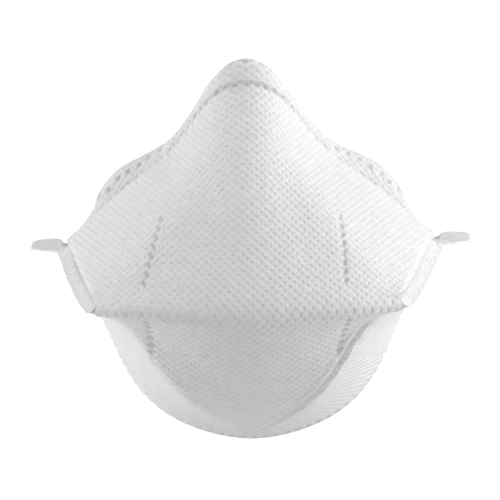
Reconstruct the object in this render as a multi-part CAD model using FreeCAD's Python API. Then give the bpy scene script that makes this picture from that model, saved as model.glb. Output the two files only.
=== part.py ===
"""Disposable dust mask of the flat-fold kind, opened out as it is worn: one laminate of four
nonwoven layers folded along a front line and welded down both sides, with a nose clip under the
cover, a nose foam inside, a strap tab at the back of each side weld, and two elastic head straps.

Frame, in millimetres: +X to the mask's left-hand tab as a viewer in front of it sees it on the
right, +Y from the front fold towards the wearer's face, +Z up to the nose. The origin is in the
middle of the face opening, on the line between the two strap tabs.
"""
import FreeCAD, Part
import math
import os

Vector = FreeCAD.Vector

# ---- overall shape -------------------------------------------------------------------------
# A size on X, Y or Z is measured from the origin, and half curves run from the middle outwards.
FOLD_HALF = 56.0          # half the length of the front fold
FOLD_Y = -78.0            # the fold's middle, in front of the face opening
FOLD_Z = -14.4
FOLD_BOW = 12.0           # the fold's ends lie this far behind its middle
FOLD_RISE = 1.4           # and this far above it
ROOT_X = 70.0             # where the side welds end, at the strap tabs
ROOT_Y = -2.0
NOSE_Y = -26.0            # the crease over the nose bridge
NOSE_Z = 63.2
CHIN_Y = -16.0            # the rim under the chin
CHIN_Z = -72.0
BROW_BACK = 5.0           # the top edge over the nose bridge lies this far behind the crease
BROW_RISE = 10.4          # and this far above it
BROW_Y = NOSE_Y + BROW_BACK
BROW_Z = NOSE_Z + BROW_RISE

# The outlines are drawn for a half width of 70 and a nose 63.2 high, and stretch with both.
WIDE = ROOT_X / 70.0
TALL = NOSE_Z / 63.2


def stretched(points):
    return [(x * WIDE, y, z * TALL) for x, y, z in points]


# The crease where the front panel turns out onto the face, from the nose bridge to the tab.
CREASE = [(0.0, NOSE_Y, NOSE_Z)] + stretched([
    (7.6, NOSE_Y + 1.6, 60.9), (13.0, NOSE_Y + 5.0, 56.0), (18.6, NOSE_Y + 10.0, 48.4),
    (26.5, -11.5, 38.0), (36.5, -8.0, 29.3), (47.0, -5.0, 21.0), (59.5, -2.6, 10.0),
]) + [(ROOT_X, ROOT_Y, 0.0)]
# The top edge, outside the crease.
BROW = [(0.0, BROW_Y, BROW_Z)] + stretched([
    (6.4, BROW_Y + 1.2, 71.4), (12.0, BROW_Y + 5.5, 65.0), (17.2, BROW_Y + 11.0, 55.3),
    (28.5, -4.6, 41.6), (38.7, -1.5, 35.0), (49.8, 0.2, 28.9), (57.6, 1.4, 19.2), (63.9, 1.8, 6.8),
]) + [(ROOT_X + 0.6, 1.4, 1.6)]
# The rim under the chin, from its middle to the tab.
CHIN = [(x * WIDE, y, z) for x, y, z in [
    (0.0, CHIN_Y, CHIN_Z), (17.6, -14.5, CHIN_Z + 2.6), (29.0, -12.5, CHIN_Z + 7.0),
    (37.9, -10.0, CHIN_Z + 12.9), (45.6, -7.0, -50.3), (50.8, -4.5, -40.6), (55.6, -2.6, -29.4),
    (63.6, -2.0, -13.2),
]] + [(ROOT_X, ROOT_Y, 0.0)]
# A side weld's inner line, from the fold's end back to the tab: (share of the way out, Y, Z).
SEAM = [(FOLD_HALF + share * (ROOT_X - FOLD_HALF), y, z) for share, y, z in [
    (0.0, FOLD_Y + FOLD_BOW, FOLD_Z + FOLD_RISE), (0.357, -47.0, -8.8), (0.643, -29.0, -4.6),
    (0.886, -12.0, -0.8), (1.0, ROOT_Y, 0.0),
]]

PINCH_DEPTH = 2.2         # power by which the nose's pinch fades below the crease
LOOSE_Y = 22.0            # without that pinch the crease would run back and down this far
LOOSE_Z = 56.0
UPPER_BULGE = 2.5         # how far the middle of the upper panel stands proud of straight
LOWER_BULGE = 4.0
RIDGE_HEIGHT = 2.2        # the soft ridge from the fold's end to each side of the nose
RIDGE_END = 0.15          # where it meets the crease, as a share of the half width
RIDGE_POWER = 0.75        # under 1, the ridge bows in towards the middle on its way up
RIDGE_WIDTH = 0.2
LOW_RIDGE_HEIGHT = 3.0    # the same from the fold's end towards the chin
LOW_RIDGE_POWER = 1.42    # over 1, the ridge bows in towards the middle on its way down
FOLD_SOFTNESS = 0.06      # how widely the fold is rounded, as a share of a panel's depth
FOLD_PINCH = 0.6          # the share of that rounding which the side welds press flat
CREASE_SOFTNESS = 0.03

# ---- layers, from the face outwards --------------------------------------------------------
LINER = 0.3
FILTER = 0.4
WADDING = 0.8
COVER = 0.3
LAYER_GAP = 0.1           # loose air between two layers
LAMINATE = LINER + FILTER + WADDING + COVER + 3 * LAYER_GAP

# ---- nose clip and nose foam ---------------------------------------------------------------
CLIP_LENGTH = 88.0
CLIP_WIDTH = 5.0
CLIP_THICKNESS = 0.8
CLIP_GAP = 0.15           # clearance under and over the clip in its pocket
CLIP_SIDE_GAP = 0.5       # clearance round its edges
CLIP_EASE = 1.8           # over this width the cover comes down beside the clip
CLIP_PLACE = 0.52         # the clip's middle, as a share of the way from the crease to the edge
FOAM_LENGTH = 84.0
FOAM_WIDTH = 7.5
FOAM_THICKNESS = 3.0
FOAM_GAP = 0.2

# ---- side welds and strap tabs -------------------------------------------------------------
WELD_WIDTH = 5.2
WELD_TAPER = 0.4          # the share of its width that the margin loses at the fold's end
WELD_TAPER_LENGTH = 8.0
WELD_THICKNESS = 1.2
WELD_GAP = 0.1            # between the pressed margin and each panel above or below it
WELD_START = 0.08         # the margin starts this share of the weld's length from the fold's end
WELD_CLEAR = 0.5          # from the weld's inner line to the pressed margin and the tab
TAB_THICKNESS = 1.2
TAB_REACH = 15.0          # from the weld's inner line to the tip
TAB_FRONT = -11.0         # the tab's front and rear ends along Y
TAB_REAR = 16.6
TAB_INSET = 3.2           # the tab's inner edge behind the rim stands this far out of the weld line
TAB_CORNER = 6.0          # rounding of the tab's outer corners
TAB_STEP = 0.3            # the strip beside the weld is pressed this much lower than the tab's top

# ---- head straps ---------------------------------------------------------------------------
STRAP_WIDTH = 5.0
STRAP_THICKNESS = 1.0
STRAP_SPACE = 1.0         # between the two straps on a tab
STRAP_EDGE = 2.1          # from a tab's rear edge to the upper strap
STRAP_HOLD = 8.5          # length of strap welded to a tab
STRAP_GAP = 0.1           # between strap and tab
STRAP_JOINT_GAP = 0.3     # between a welded end and the free strap
UPPER_SAG = 48.0
LOWER_SAG = 34.0

COLUMNS = 61              # points across the laminate, from weld to weld
STRAP_POINTS = 33


# ---- curves --------------------------------------------------------------------------------
def natural_cubic(knots, values):
    """Second derivatives at the knots of the natural cubic through the values."""
    count = len(knots)
    second = [0.0] * count
    work = [0.0] * count
    for i in range(1, count - 1):
        share = (knots[i] - knots[i - 1]) / (knots[i + 1] - knots[i - 1])
        pivot = share * second[i - 1] + 2.0
        second[i] = (share - 1.0) / pivot
        rise = (values[i + 1] - values[i]) / (knots[i + 1] - knots[i])
        fall = (values[i] - values[i - 1]) / (knots[i] - knots[i - 1])
        work[i] = (6.0 * (rise - fall) / (knots[i + 1] - knots[i - 1]) - share * work[i - 1]) / pivot
    second[-1] = 0.0
    for i in range(count - 2, -1, -1):
        second[i] = second[i] * second[i + 1] + work[i]
    return second


class Curve:
    """A smooth curve through points, read by the share of its length, from 0 to 1."""

    def __init__(self, points, samples=400):
        self.points = [tuple(p) for p in points]
        self.knots = [0.0]
        for a, b in zip(self.points, self.points[1:]):
            self.knots.append(self.knots[-1] + math.dist(a, b))
        self.second = [natural_cubic(self.knots, [p[k] for p in self.points]) for k in range(3)]
        self.at = [self.knots[-1] * i / samples for i in range(samples + 1)]
        places = [self.place(t) for t in self.at]
        self.lengths = [0.0]
        for a, b in zip(places, places[1:]):
            self.lengths.append(self.lengths[-1] + math.dist(a, b))
        self.length = self.lengths[-1]

    def place(self, t):
        low = 0
        while low < len(self.knots) - 2 and self.knots[low + 1] < t:
            low += 1
        span = self.knots[low + 1] - self.knots[low]
        a = (self.knots[low + 1] - t) / span
        b = 1.0 - a
        found = []
        for k in range(3):
            bend = (a ** 3 - a) * self.second[k][low] + (b ** 3 - b) * self.second[k][low + 1]
            line = a * self.points[low][k] + b * self.points[low + 1][k]
            found.append(line + bend * span * span / 6.0)
        return found

    def share(self, share):
        wanted = min(max(share, 0.0), 1.0) * self.length
        low, high = 0, len(self.lengths) - 1
        while high - low > 1:
            middle = (low + high) // 2
            if self.lengths[middle] <= wanted:
                low = middle
            else:
                high = middle
        part = (wanted - self.lengths[low]) / (self.lengths[high] - self.lengths[low])
        return self.place(self.at[low] + part * (self.at[high] - self.at[low]))


def both_sides(half):
    """The curve of a half outline and its mirror image, from weld to weld."""
    mirrored = [(-x, y, z) for x, y, z in reversed(half[1:])]
    return Curve(mirrored + list(half))


CREASE_CURVE = both_sides(CREASE)
BROW_CURVE = both_sides(BROW)
CHIN_CURVE = both_sides(CHIN)
SEAM_CURVE = Curve(SEAM)


# ---- the form: the face side of the laminate ------------------------------------------------
# u runs from weld to weld, -1 to 1. v runs from the chin rim at -1 over the fold at 0 and the
# crease at 1 to the top edge at 2.
def soft(value, width):
    """The positive part of a value, with its corner rounded over about that width."""
    return (value + math.hypot(value, width)) / 2.0


def fold_line(u):
    return (FOLD_HALF * u, FOLD_Y + FOLD_BOW * u * u, FOLD_Z + FOLD_RISE * u * u)


def seam_bend(depth):
    """How far the side weld's line stands off a straight one, at a share of its length."""
    share = min(max(depth, 0.0), 1.0)
    on_curve = SEAM_CURVE.share(share)
    return [p - (a + share * (b - a)) for p, a, b in zip(on_curve, SEAM[0], SEAM[-1])]


def form(u, v):
    """The place of a point of the laminate's face side."""
    fold = fold_line(u)
    crease = CREASE_CURVE.share((u + 1.0) / 2.0)
    brow = BROW_CURVE.share((u + 1.0) / 2.0)
    chin = CHIN_CURVE.share((u + 1.0) / 2.0)
    edge = u * u
    softness = FOLD_SOFTNESS * (1.0 - FOLD_PINCH * edge)
    out = soft(v - 1.0, CREASE_SOFTNESS)
    up = soft(v, softness) - out
    down = soft(-v, softness)
    bend = seam_bend(math.hypot(min(v, 1.0), softness))
    loose = (
        crease[0],
        NOSE_Y + LOOSE_Y * (crease[0] / ROOT_X) ** 2,
        NOSE_Z - LOOSE_Z * (crease[0] / ROOT_X) ** 2,
    )
    pinch = min(up, 1.0) ** PINCH_DEPTH
    place = [
        f + up * (w - f) + pinch * (c - w) + out * (b - c) + down * (k - f)
        for f, w, c, b, k in zip(fold, loose, crease, brow, chin)
    ]
    place[0] += u * bend[0]
    place[1] += edge * bend[1]
    place[2] += edge * bend[2]
    apart = (WELD_THICKNESS / 2.0 + WELD_GAP) * v / math.hypot(v, softness)
    place[2] += apart
    middle = 1.0 - edge
    arch = math.sin(math.pi * min(max(v, 0.0), 1.0)) ** 2
    off_ridge = (abs(u) - 1.0 + (1.0 - RIDGE_END) * min(max(v, 0.0), 1.0) ** RIDGE_POWER) / RIDGE_WIDTH
    rise = (UPPER_BULGE * middle + RIDGE_HEIGHT * math.exp(-off_ridge * off_ridge)) * arch
    low_arch = math.sin(math.pi * min(max(-v, 0.0), 1.0)) ** 2
    off_low = (abs(u) - (1.0 - min(max(-v, 0.0), 1.0)) ** LOW_RIDGE_POWER) / RIDGE_WIDTH
    drop = (LOWER_BULGE * middle + LOW_RIDGE_HEIGHT * math.exp(-off_low * off_low)) * low_arch
    upper_normal = (0.0, -0.84, 0.54)
    lower_normal = (0.0, -0.67, -0.74)
    return Vector(*[p + rise * n + drop * m for p, n, m in zip(place, upper_normal, lower_normal)])


def normal(u, v):
    """The outward direction of the form at a point."""
    step_u = 2e-3
    step_v = 2e-3
    across = form(min(u + step_u, 1.0), v) - form(max(u - step_u, -1.0), v)
    along = form(u, min(v + step_v, 2.0)) - form(u, max(v - step_v, -1.0))
    out = across.cross(along)
    out.normalize()
    return out


def flange_width(u):
    """The width of the band between the crease and the top edge."""
    share = (u + 1.0) / 2.0
    return math.dist(CREASE_CURVE.share(share), BROW_CURVE.share(share))


def ease(distance, width):
    """1 inside a border, 0 beyond it by the width, and smooth between."""
    t = min(max(distance / width, 0.0), 1.0)
    return 1.0 - t * t * (3.0 - 2.0 * t)


def clip_lift(u, v):
    """How far the cover stands off the wadding to make room for the nose clip."""
    along = abs(u) * CREASE_CURVE.length / 2.0 - CLIP_LENGTH / 2.0 - CLIP_SIDE_GAP
    across = abs(v - 1.0 - CLIP_PLACE) * flange_width(u) - CLIP_WIDTH / 2.0 - CLIP_SIDE_GAP
    return (CLIP_THICKNESS + 2.0 * CLIP_GAP) * ease(along, 2.0 * CLIP_EASE) * ease(across, CLIP_EASE)


# ---- solids --------------------------------------------------------------------------------
def skin(points):
    surface = Part.BSplineSurface()
    surface.interpolate(points)
    return surface


def slab(inner, outer):
    """The closed solid between two grids of points of the same size."""
    low, high = skin(inner), skin(outer)
    faces = [low.toShape(), high.toShape()]
    for name, ends in (("uIso", low.bounds()[:2]), ("vIso", low.bounds()[2:])):
        other = high.bounds()[:2] if name == "uIso" else high.bounds()[2:]
        for a, b in zip(ends, other):
            faces.append(Part.makeRuledSurface(
                getattr(low, name)(a).toShape(), getattr(high, name)(b).toShape()))
    shell = Part.Shell(faces)
    shell.sewShape()
    solid = Part.Solid(Part.Shell(shell.Faces))
    if solid.Volume < 0:
        solid.reverse()
    return solid


def panel_rows():
    """The values of v at which the laminate is sampled, close together at the fold and crease."""
    fold = [0.0, 0.02, 0.045, 0.075, 0.12, 0.18]
    plain = [0.26, 0.35, 0.45, 0.55, 0.65, 0.74, 0.82, 0.885, 0.93, 0.96, 0.98, 0.99]
    lower = [-v for v in reversed(fold[1:] + plain[:7] + [0.89, 0.95, 1.0])]
    flange = [1.0 + i / 16.0 for i in range(17)]
    return lower + fold + plain + [1.0, 1.012, 1.03] + flange[1:]


def laminate_layer(start, thickness, lift=None):
    """One layer of the laminate, from a distance off the form outwards."""
    inner, outer = [], []
    for i in range(COLUMNS):
        u = -1.0 + 2.0 * i / (COLUMNS - 1)
        low, high = [], []
        for v in panel_rows():
            place, out = form(u, v), normal(u, v)
            raised = start + (lift(u, v) if lift else 0.0)
            low.append(place + out * raised)
            high.append(place + out * (raised + thickness))
        inner.append(low)
        outer.append(high)
    return slab(inner, outer)


def flange_strip(length, width, place, start, thickness):
    """A strip of constant width that follows the band over the nose."""
    columns, rows = 49, 7
    inner, outer = [], []
    for i in range(columns):
        u = (-1.0 + 2.0 * i / (columns - 1)) * length / CREASE_CURVE.length
        low, high = [], []
        for j in range(rows):
            off = (j / (rows - 1) - 0.5) * width / flange_width(u)
            v = 1.0 + place + off
            point, out = form(u, v), normal(u, v)
            low.append(point + out * start)
            high.append(point + out * (start + thickness))
        inner.append(low)
        outer.append(high)
    return slab(inner, outer)


def mirror(solid):
    return solid.mirror(Vector(0, 0, 0), Vector(1, 0, 0))


def side_seam():
    """The pressed margin outside the right-hand weld, from the fold's end to the tab."""
    first, last = WELD_START, (TAB_FRONT - 0.1 - SEAM[0][1]) / (SEAM[-1][1] - SEAM[0][1])
    columns, rows = 17, 4
    low, high = [], []
    for i in range(columns):
        share = first + (last - first) * i / (columns - 1)
        edge = Vector(*SEAM_CURVE.share(share))
        out = Vector(1.0, -0.12, -0.05)
        out.normalize()
        narrow = WELD_TAPER * ease((share - first) * SEAM_CURVE.length, WELD_TAPER_LENGTH)
        below, above = [], []
        for j in range(rows):
            width = (WELD_WIDTH * (1.0 - narrow) - WELD_CLEAR) * j / (rows - 1)
            place = edge + out * (WELD_CLEAR + width)
            below.append(place - Vector(0, 0, WELD_THICKNESS / 2.0))
            above.append(place + Vector(0, 0, WELD_THICKNESS / 2.0))
        low.append(below)
        high.append(above)
    return slab(low, high)


def rounded_outline(corners):
    """A closed wire through corners (x, y, radius), with each one rounded to its radius."""
    edges, count = [], len(corners)
    joins = []
    for i, (x, y, radius) in enumerate(corners):
        here = Vector(x, y, 0)
        back = Vector(*corners[i - 1][:2], 0) - here
        ahead = Vector(*corners[(i + 1) % count][:2], 0) - here
        back.normalize()
        ahead.normalize()
        half = back.getAngle(ahead) / 2.0
        reach = radius / math.tan(half)
        middle = back + ahead
        middle.normalize()
        inside = here + middle * (radius / math.sin(half) - radius)
        joins.append((here + back * reach, inside, here + ahead * reach))
    for i, (start, inside, end) in enumerate(joins):
        edges.append(Part.Arc(start, inside, end).toShape())
        edges.append(Part.LineSegment(end, joins[(i + 1) % count][0]).toShape())
    return Part.Wire(edges)


def strap_tab():
    """The flat tab behind the right-hand weld, which the straps are welded under."""
    root_front = SEAM_CURVE.share((TAB_FRONT - SEAM[0][1]) / (SEAM[-1][1] - SEAM[0][1]))[0]
    inner = ROOT_X + TAB_INSET
    behind_rim = ROOT_Y + 5.0
    outline = rounded_outline([
        (root_front + WELD_CLEAR, TAB_FRONT, 0.5),
        (root_front + WELD_WIDTH, TAB_FRONT, 2.5),
        (ROOT_X + TAB_REACH, TAB_FRONT + 9.0, TAB_CORNER),
        (ROOT_X + TAB_REACH, TAB_REAR, TAB_CORNER),
        (inner, TAB_REAR, 0.8),
        (inner, behind_rim, 0.8),
        (ROOT_X + WELD_CLEAR + 0.8, behind_rim - 2.4, 1.2),
        (ROOT_X + WELD_CLEAR, ROOT_Y - 2.0, 2.0),
    ])
    plate = Part.Face(outline).extrude(Vector(0, 0, TAB_THICKNESS))
    plate.translate(Vector(0, 0, -TAB_THICKNESS / 2.0))
    pressed = Part.makeBox(
        TAB_INSET + 10.0, TAB_REAR - TAB_FRONT + 2.0, TAB_THICKNESS,
        Vector(inner - TAB_INSET - 10.0, TAB_FRONT - 1.0, TAB_THICKNESS / 2.0 - TAB_STEP))
    return plate.cut(pressed)


def strap_middle(strap):
    """The Y of a strap's middle line on the tabs."""
    upper = TAB_REAR - STRAP_EDGE - STRAP_WIDTH / 2.0
    return upper if strap == "upper" else upper - STRAP_WIDTH - STRAP_SPACE


def strap_level():
    """The Z of a strap's middle where it lies under a tab."""
    return -TAB_THICKNESS / 2.0 - STRAP_GAP - STRAP_THICKNESS / 2.0


def strap_end(strap):
    """The length of strap that is welded flat under the right-hand tab."""
    start = ROOT_X + TAB_INSET
    return Part.makeBox(
        STRAP_HOLD, STRAP_WIDTH, STRAP_THICKNESS,
        Vector(start, strap_middle(strap) - STRAP_WIDTH / 2.0, strap_level() - STRAP_THICKNESS / 2.0))


def free_strap(strap, sag):
    """The free length of a strap, hanging between the tabs as a shallow bow."""
    reach = ROOT_X + TAB_INSET - STRAP_JOINT_GAP - STRAP_THICKNESS / 2.0
    inner, outer = [], []
    for i in range(STRAP_POINTS):
        x = reach * (-1.0 + 2.0 * i / (STRAP_POINTS - 1))
        z = strap_level() - sag * (1.0 - (x / reach) ** 2)
        slope = 2.0 * sag * x / reach ** 2
        out = Vector(-slope, 0, 1)
        out.normalize()
        middle = Vector(x, strap_middle(strap), z)
        row_low, row_high = [], []
        for side in (-0.5, 0.0, 0.5):
            place = middle + Vector(0, side * STRAP_WIDTH, 0)
            row_low.append(place - out * (STRAP_THICKNESS / 2.0))
            row_high.append(place + out * (STRAP_THICKNESS / 2.0))
        inner.append(row_low)
        outer.append(row_high)
    return slab(inner, outer)


def build():
    at_filter = LINER + LAYER_GAP
    at_wadding = at_filter + FILTER + LAYER_GAP
    at_cover = at_wadding + WADDING + LAYER_GAP
    parts = {
        "inner_liner": laminate_layer(0.0, LINER),
        "filter_layer": laminate_layer(at_filter, FILTER),
        "wadding_layer": laminate_layer(at_wadding, WADDING),
        "outer_cover": laminate_layer(at_cover, COVER, clip_lift),
        "nose_clip": flange_strip(
            CLIP_LENGTH, CLIP_WIDTH, CLIP_PLACE, at_cover + CLIP_GAP, CLIP_THICKNESS),
        "nose_foam": flange_strip(
            FOAM_LENGTH, FOAM_WIDTH, CLIP_PLACE, -FOAM_GAP - FOAM_THICKNESS, FOAM_THICKNESS),
        "right_side_seam": side_seam(),
        "right_strap_tab": strap_tab(),
        "upper_strap": free_strap("upper", UPPER_SAG),
        "lower_strap": free_strap("lower", LOWER_SAG),
        "upper_strap_end_right": strap_end("upper"),
        "lower_strap_end_right": strap_end("lower"),
    }
    for name in [n for n in parts if "right" in n]:
        parts[name.replace("right", "left")] = mirror(parts[name])
    return parts


os.makedirs("parts", exist_ok=True)
for node, solid in build().items():
    print(f"{node:24s} valid {solid.isValid()} volume {solid.Volume:9.1f} mm3")
    solid.exportStep(f"parts/{node}.step")
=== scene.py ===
"""Looks of the disposable dust mask: cloth layers, welds, nose foam and straps, with its studio."""

import math

import bpy
import numpy as np
from mathutils import Matrix, Vector, noise


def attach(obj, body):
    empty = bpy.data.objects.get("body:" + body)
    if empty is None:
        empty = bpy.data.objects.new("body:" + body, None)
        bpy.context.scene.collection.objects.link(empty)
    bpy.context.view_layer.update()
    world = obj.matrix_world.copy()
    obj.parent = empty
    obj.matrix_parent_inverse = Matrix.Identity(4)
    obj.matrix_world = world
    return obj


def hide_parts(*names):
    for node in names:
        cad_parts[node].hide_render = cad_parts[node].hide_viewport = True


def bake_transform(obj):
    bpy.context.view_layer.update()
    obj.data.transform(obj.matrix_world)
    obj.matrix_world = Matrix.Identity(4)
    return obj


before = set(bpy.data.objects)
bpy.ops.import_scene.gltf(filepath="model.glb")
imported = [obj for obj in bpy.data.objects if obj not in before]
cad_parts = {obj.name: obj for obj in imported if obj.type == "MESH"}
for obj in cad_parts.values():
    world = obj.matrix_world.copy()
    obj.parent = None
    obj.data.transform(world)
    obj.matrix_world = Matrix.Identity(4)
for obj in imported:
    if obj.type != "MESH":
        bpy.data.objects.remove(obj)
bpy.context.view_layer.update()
MM = 0.001

# ---- shape, in millimetres: the CAD part's sizes, with the seam's points rounded to 0.01 ----
FOLD_HALF, FOLD_Y, FOLD_Z, FOLD_BOW, FOLD_RISE = 56.0, -78.0, -14.4, 12.0, 1.4
ROOT_X, ROOT_Y = 70.0, -2.0
NOSE_Y, NOSE_Z = -26.0, 63.2
CHIN_Y, CHIN_Z = -16.0, -72.0
BROW_Y, BROW_Z = -21.0, 73.6
CREASE = [
    (0.0, NOSE_Y, NOSE_Z), (7.6, NOSE_Y + 1.6, NOSE_Z - 2.3), (13.0, NOSE_Y + 5.0, NOSE_Z - 7.2),
    (18.6, NOSE_Y + 10.0, NOSE_Z - 14.8), (26.5, -11.5, 38.0), (36.5, -8.0, 29.3),
    (47.0, -5.0, 21.0), (59.5, -2.6, 10.0), (ROOT_X, ROOT_Y, 0.0),
]
BROW = [
    (0.0, BROW_Y, BROW_Z), (6.4, BROW_Y + 1.2, BROW_Z - 2.2), (12.0, BROW_Y + 5.5, BROW_Z - 8.6),
    (17.2, BROW_Y + 11.0, BROW_Z - 18.3), (28.5, -4.6, 41.6), (38.7, -1.5, 35.0),
    (49.8, 0.2, 28.9), (57.6, 1.4, 19.2), (63.9, 1.8, 6.8), (ROOT_X + 0.6, 1.4, 1.6),
]
CHIN = [
    (0.0, CHIN_Y, CHIN_Z), (17.6, -14.5, CHIN_Z + 2.6), (29.0, -12.5, CHIN_Z + 7.0),
    (37.9, -10.0, CHIN_Z + 12.9), (45.6, -7.0, -50.3), (50.8, -4.5, -40.6), (55.6, -2.6, -29.4),
    (63.6, -2.0, -13.2), (ROOT_X, ROOT_Y, 0.0),
]
SEAM = [
    (FOLD_HALF, FOLD_Y + FOLD_BOW, FOLD_Z + FOLD_RISE), (61.0, -47.0, -8.8), (65.0, -29.0, -4.6),
    (68.4, -12.0, -0.8), (ROOT_X, ROOT_Y, 0.0),
]
PINCH_DEPTH, LOOSE_Y, LOOSE_Z = 2.2, 22.0, 56.0
UPPER_BULGE, LOWER_BULGE = 2.5, 4.0
RIDGE_HEIGHT, RIDGE_WIDTH, RIDGE_END, RIDGE_POWER = 2.2, 0.2, 0.15, 0.75
LOW_RIDGE_HEIGHT, LOW_RIDGE_POWER = 3.0, 1.42
FOLD_SOFTNESS, FOLD_PINCH, CREASE_SOFTNESS = 0.06, 0.6, 0.03
LINER, FILTER, WADDING, COVER, LAYER_GAP = 0.3, 0.4, 0.8, 0.3, 0.1
LAMINATE = LINER + FILTER + WADDING + COVER + 3 * LAYER_GAP
CLIP_LENGTH, CLIP_WIDTH, CLIP_THICKNESS, CLIP_PLACE = 88.0, 5.0, 0.8, 0.52
CLIP_GAP, CLIP_SIDE_GAP, CLIP_EASE = 0.15, 0.5, 1.8
FOAM_LENGTH, FOAM_WIDTH, FOAM_THICKNESS, FOAM_GAP = 84.0, 7.5, 3.0, 0.2
WELD_WIDTH, WELD_THICKNESS, WELD_GAP, WELD_CLEAR = 5.2, 1.2, 0.1, 0.5
WELD_TAPER_LENGTH = 8.0
TAB_THICKNESS, TAB_REACH, TAB_FRONT, TAB_REAR = 1.2, 15.0, -11.0, 16.6
TAB_INSET, TAB_CORNER = 3.2, 6.0
STRAP_WIDTH, STRAP_THICKNESS, STRAP_SPACE, STRAP_EDGE = 5.0, 1.0, 1.0, 2.1
STRAP_HOLD, STRAP_GAP, STRAP_JOINT_GAP = 8.5, 0.1, 0.3
UPPER_SAG, LOWER_SAG = 48.0, 34.0

# ---- looks, in millimetres -----------------------------------------------------------------
BOND_X, BOND_Y = 1.64, 1.6          # half the pitch of the cloth's bonding dents, both ways
PANEL_WELDS = [           # side, and each column's place and lean on the upper and lower panel
    (-1, 40.0, 0.19, 37.4, 0.05), (1, 35.8, 0.0, 36.9, 0.15),
]
WELD_PITCH, WELD_COUNT, WELD_DEPTH = 3.9, 8, 0.7
UPPER_WELD_START, UPPER_WELD_SIZE, UPPER_WELD_TURN = 11.0, (2.9, 1.7), 1.15
LOWER_WELD_START, LOWER_WELD_SIZE, LOWER_WELD_TURN = 3.5, (2.9, 1.9), 0.5
CHIN_WELD_COUNT, CHIN_WELD_INSET, CHIN_WELD_DEPTH = 51, 2.6, 1.25
CHIN_WELD_SIZE, CHIN_WELD_TURN = (3.4, 1.6), 0.95
EDGE_PRESS, EDGE_PRESS_WIDTH = 0.55, 3.2      # how far the rims are pressed together, and how widely
WELD_PRESS_WIDTH = 2.5
MARGIN_START, MARGIN_THICKNESS = 0.003, 0.7     # the margin starts this share along the weld
MARGIN_SWELL, MARGIN_LIFT = 7.0, 1.0    # thicknesses added, and the rise, where the panels meet it
MARGIN_TUCK, MARGIN_TAPER = 2.0, 0.15   # how far it reaches inside the weld, and narrows rearwards
RIB_PITCH = 1.55          # of the ribs across the pressed margins
TAB_TUCK, TAB_SWELL = 2.2, 1.3          # behind the rim, how far it reaches in and how it thickens
TAB_ROUNDING = (0.85, 0.4, 0.25)        # rear outer, rear inner and front corner, in TAB_CORNER
STRAP_TURN = 1.6          # how far along it the strap bends from its bow onto the tab
CORD_PITCH = 0.83         # of the cords that run along the webbing
CAP_RINGS = 4             # rings that close each end of a tab, margin or foam strip
COVER_GRID, LINER_GRID, HIDDEN_GRID = (352, 262), (240, 190), (150, 120)
HEM_TURN = 0.9                      # how far the cover's rim bulges as it turns over the layers
DETAIL = 1.0


# ---- curves and the form -------------------------------------------------------------------
def natural_cubic(knots, values):
    """Second derivatives at the knots of the natural cubic through the values."""
    count = len(knots)
    a, b = np.eye(count), np.zeros(count)
    for i in range(1, count - 1):
        near, far = knots[i] - knots[i - 1], knots[i + 1] - knots[i]
        a[i, i - 1:i + 2] = near, 2 * (near + far), far
        b[i] = 6 * ((values[i + 1] - values[i]) / far - (values[i] - values[i - 1]) / near)
    return np.linalg.solve(a, b)


class Curve:
    """A smooth curve through points, read by the share of its length, from 0 to 1."""

    def __init__(self, points, samples=400):
        self.points = np.array(points, float)
        steps = np.linalg.norm(np.diff(self.points, axis=0), axis=1)
        self.knots = np.concatenate([[0.0], np.cumsum(steps)])
        self.second = np.stack([natural_cubic(self.knots, self.points[:, k]) for k in range(3)], 1)
        self.at = np.linspace(0.0, self.knots[-1], samples + 1)
        places = self.place(self.at)
        self.lengths = np.concatenate(
            [[0.0], np.cumsum(np.linalg.norm(np.diff(places, axis=0), axis=1))])
        self.length = self.lengths[-1]

    def place(self, t):
        low = np.clip(np.searchsorted(self.knots, t, side="left") - 1, 0, len(self.knots) - 2)
        span = self.knots[low + 1] - self.knots[low]
        a = (self.knots[low + 1] - t) / span
        b = 1.0 - a
        bend = (a ** 3 - a)[..., None] * self.second[low] + (b ** 3 - b)[..., None] * self.second[low + 1]
        line = a[..., None] * self.points[low] + b[..., None] * self.points[low + 1]
        return line + bend * (span * span / 6.0)[..., None]

    def share(self, share):
        wanted = np.clip(share, 0.0, 1.0) * self.length
        return self.place(np.interp(wanted, self.lengths, self.at))


def both_sides(half):
    return Curve([(-x, y, z) for x, y, z in reversed(half[1:])] + list(half))


CREASE_CURVE, BROW_CURVE, CHIN_CURVE = both_sides(CREASE), both_sides(BROW), both_sides(CHIN)
SEAM_CURVE = Curve(SEAM)


def soft(value, width):
    return (value + np.hypot(value, width)) / 2.0


def seam_bend(depth):
    share = np.clip(depth, 0.0, 1.0)
    straight = np.array(SEAM[0]) + share[..., None] * (np.array(SEAM[-1]) - np.array(SEAM[0]))
    return SEAM_CURVE.share(share) - straight


def low_ridge_line(v):
    """How far from the middle, as a share of the half width, the lower ridge runs."""
    return (1.0 - np.clip(-v, 0.0, 1.0)) ** LOW_RIDGE_POWER


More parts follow.
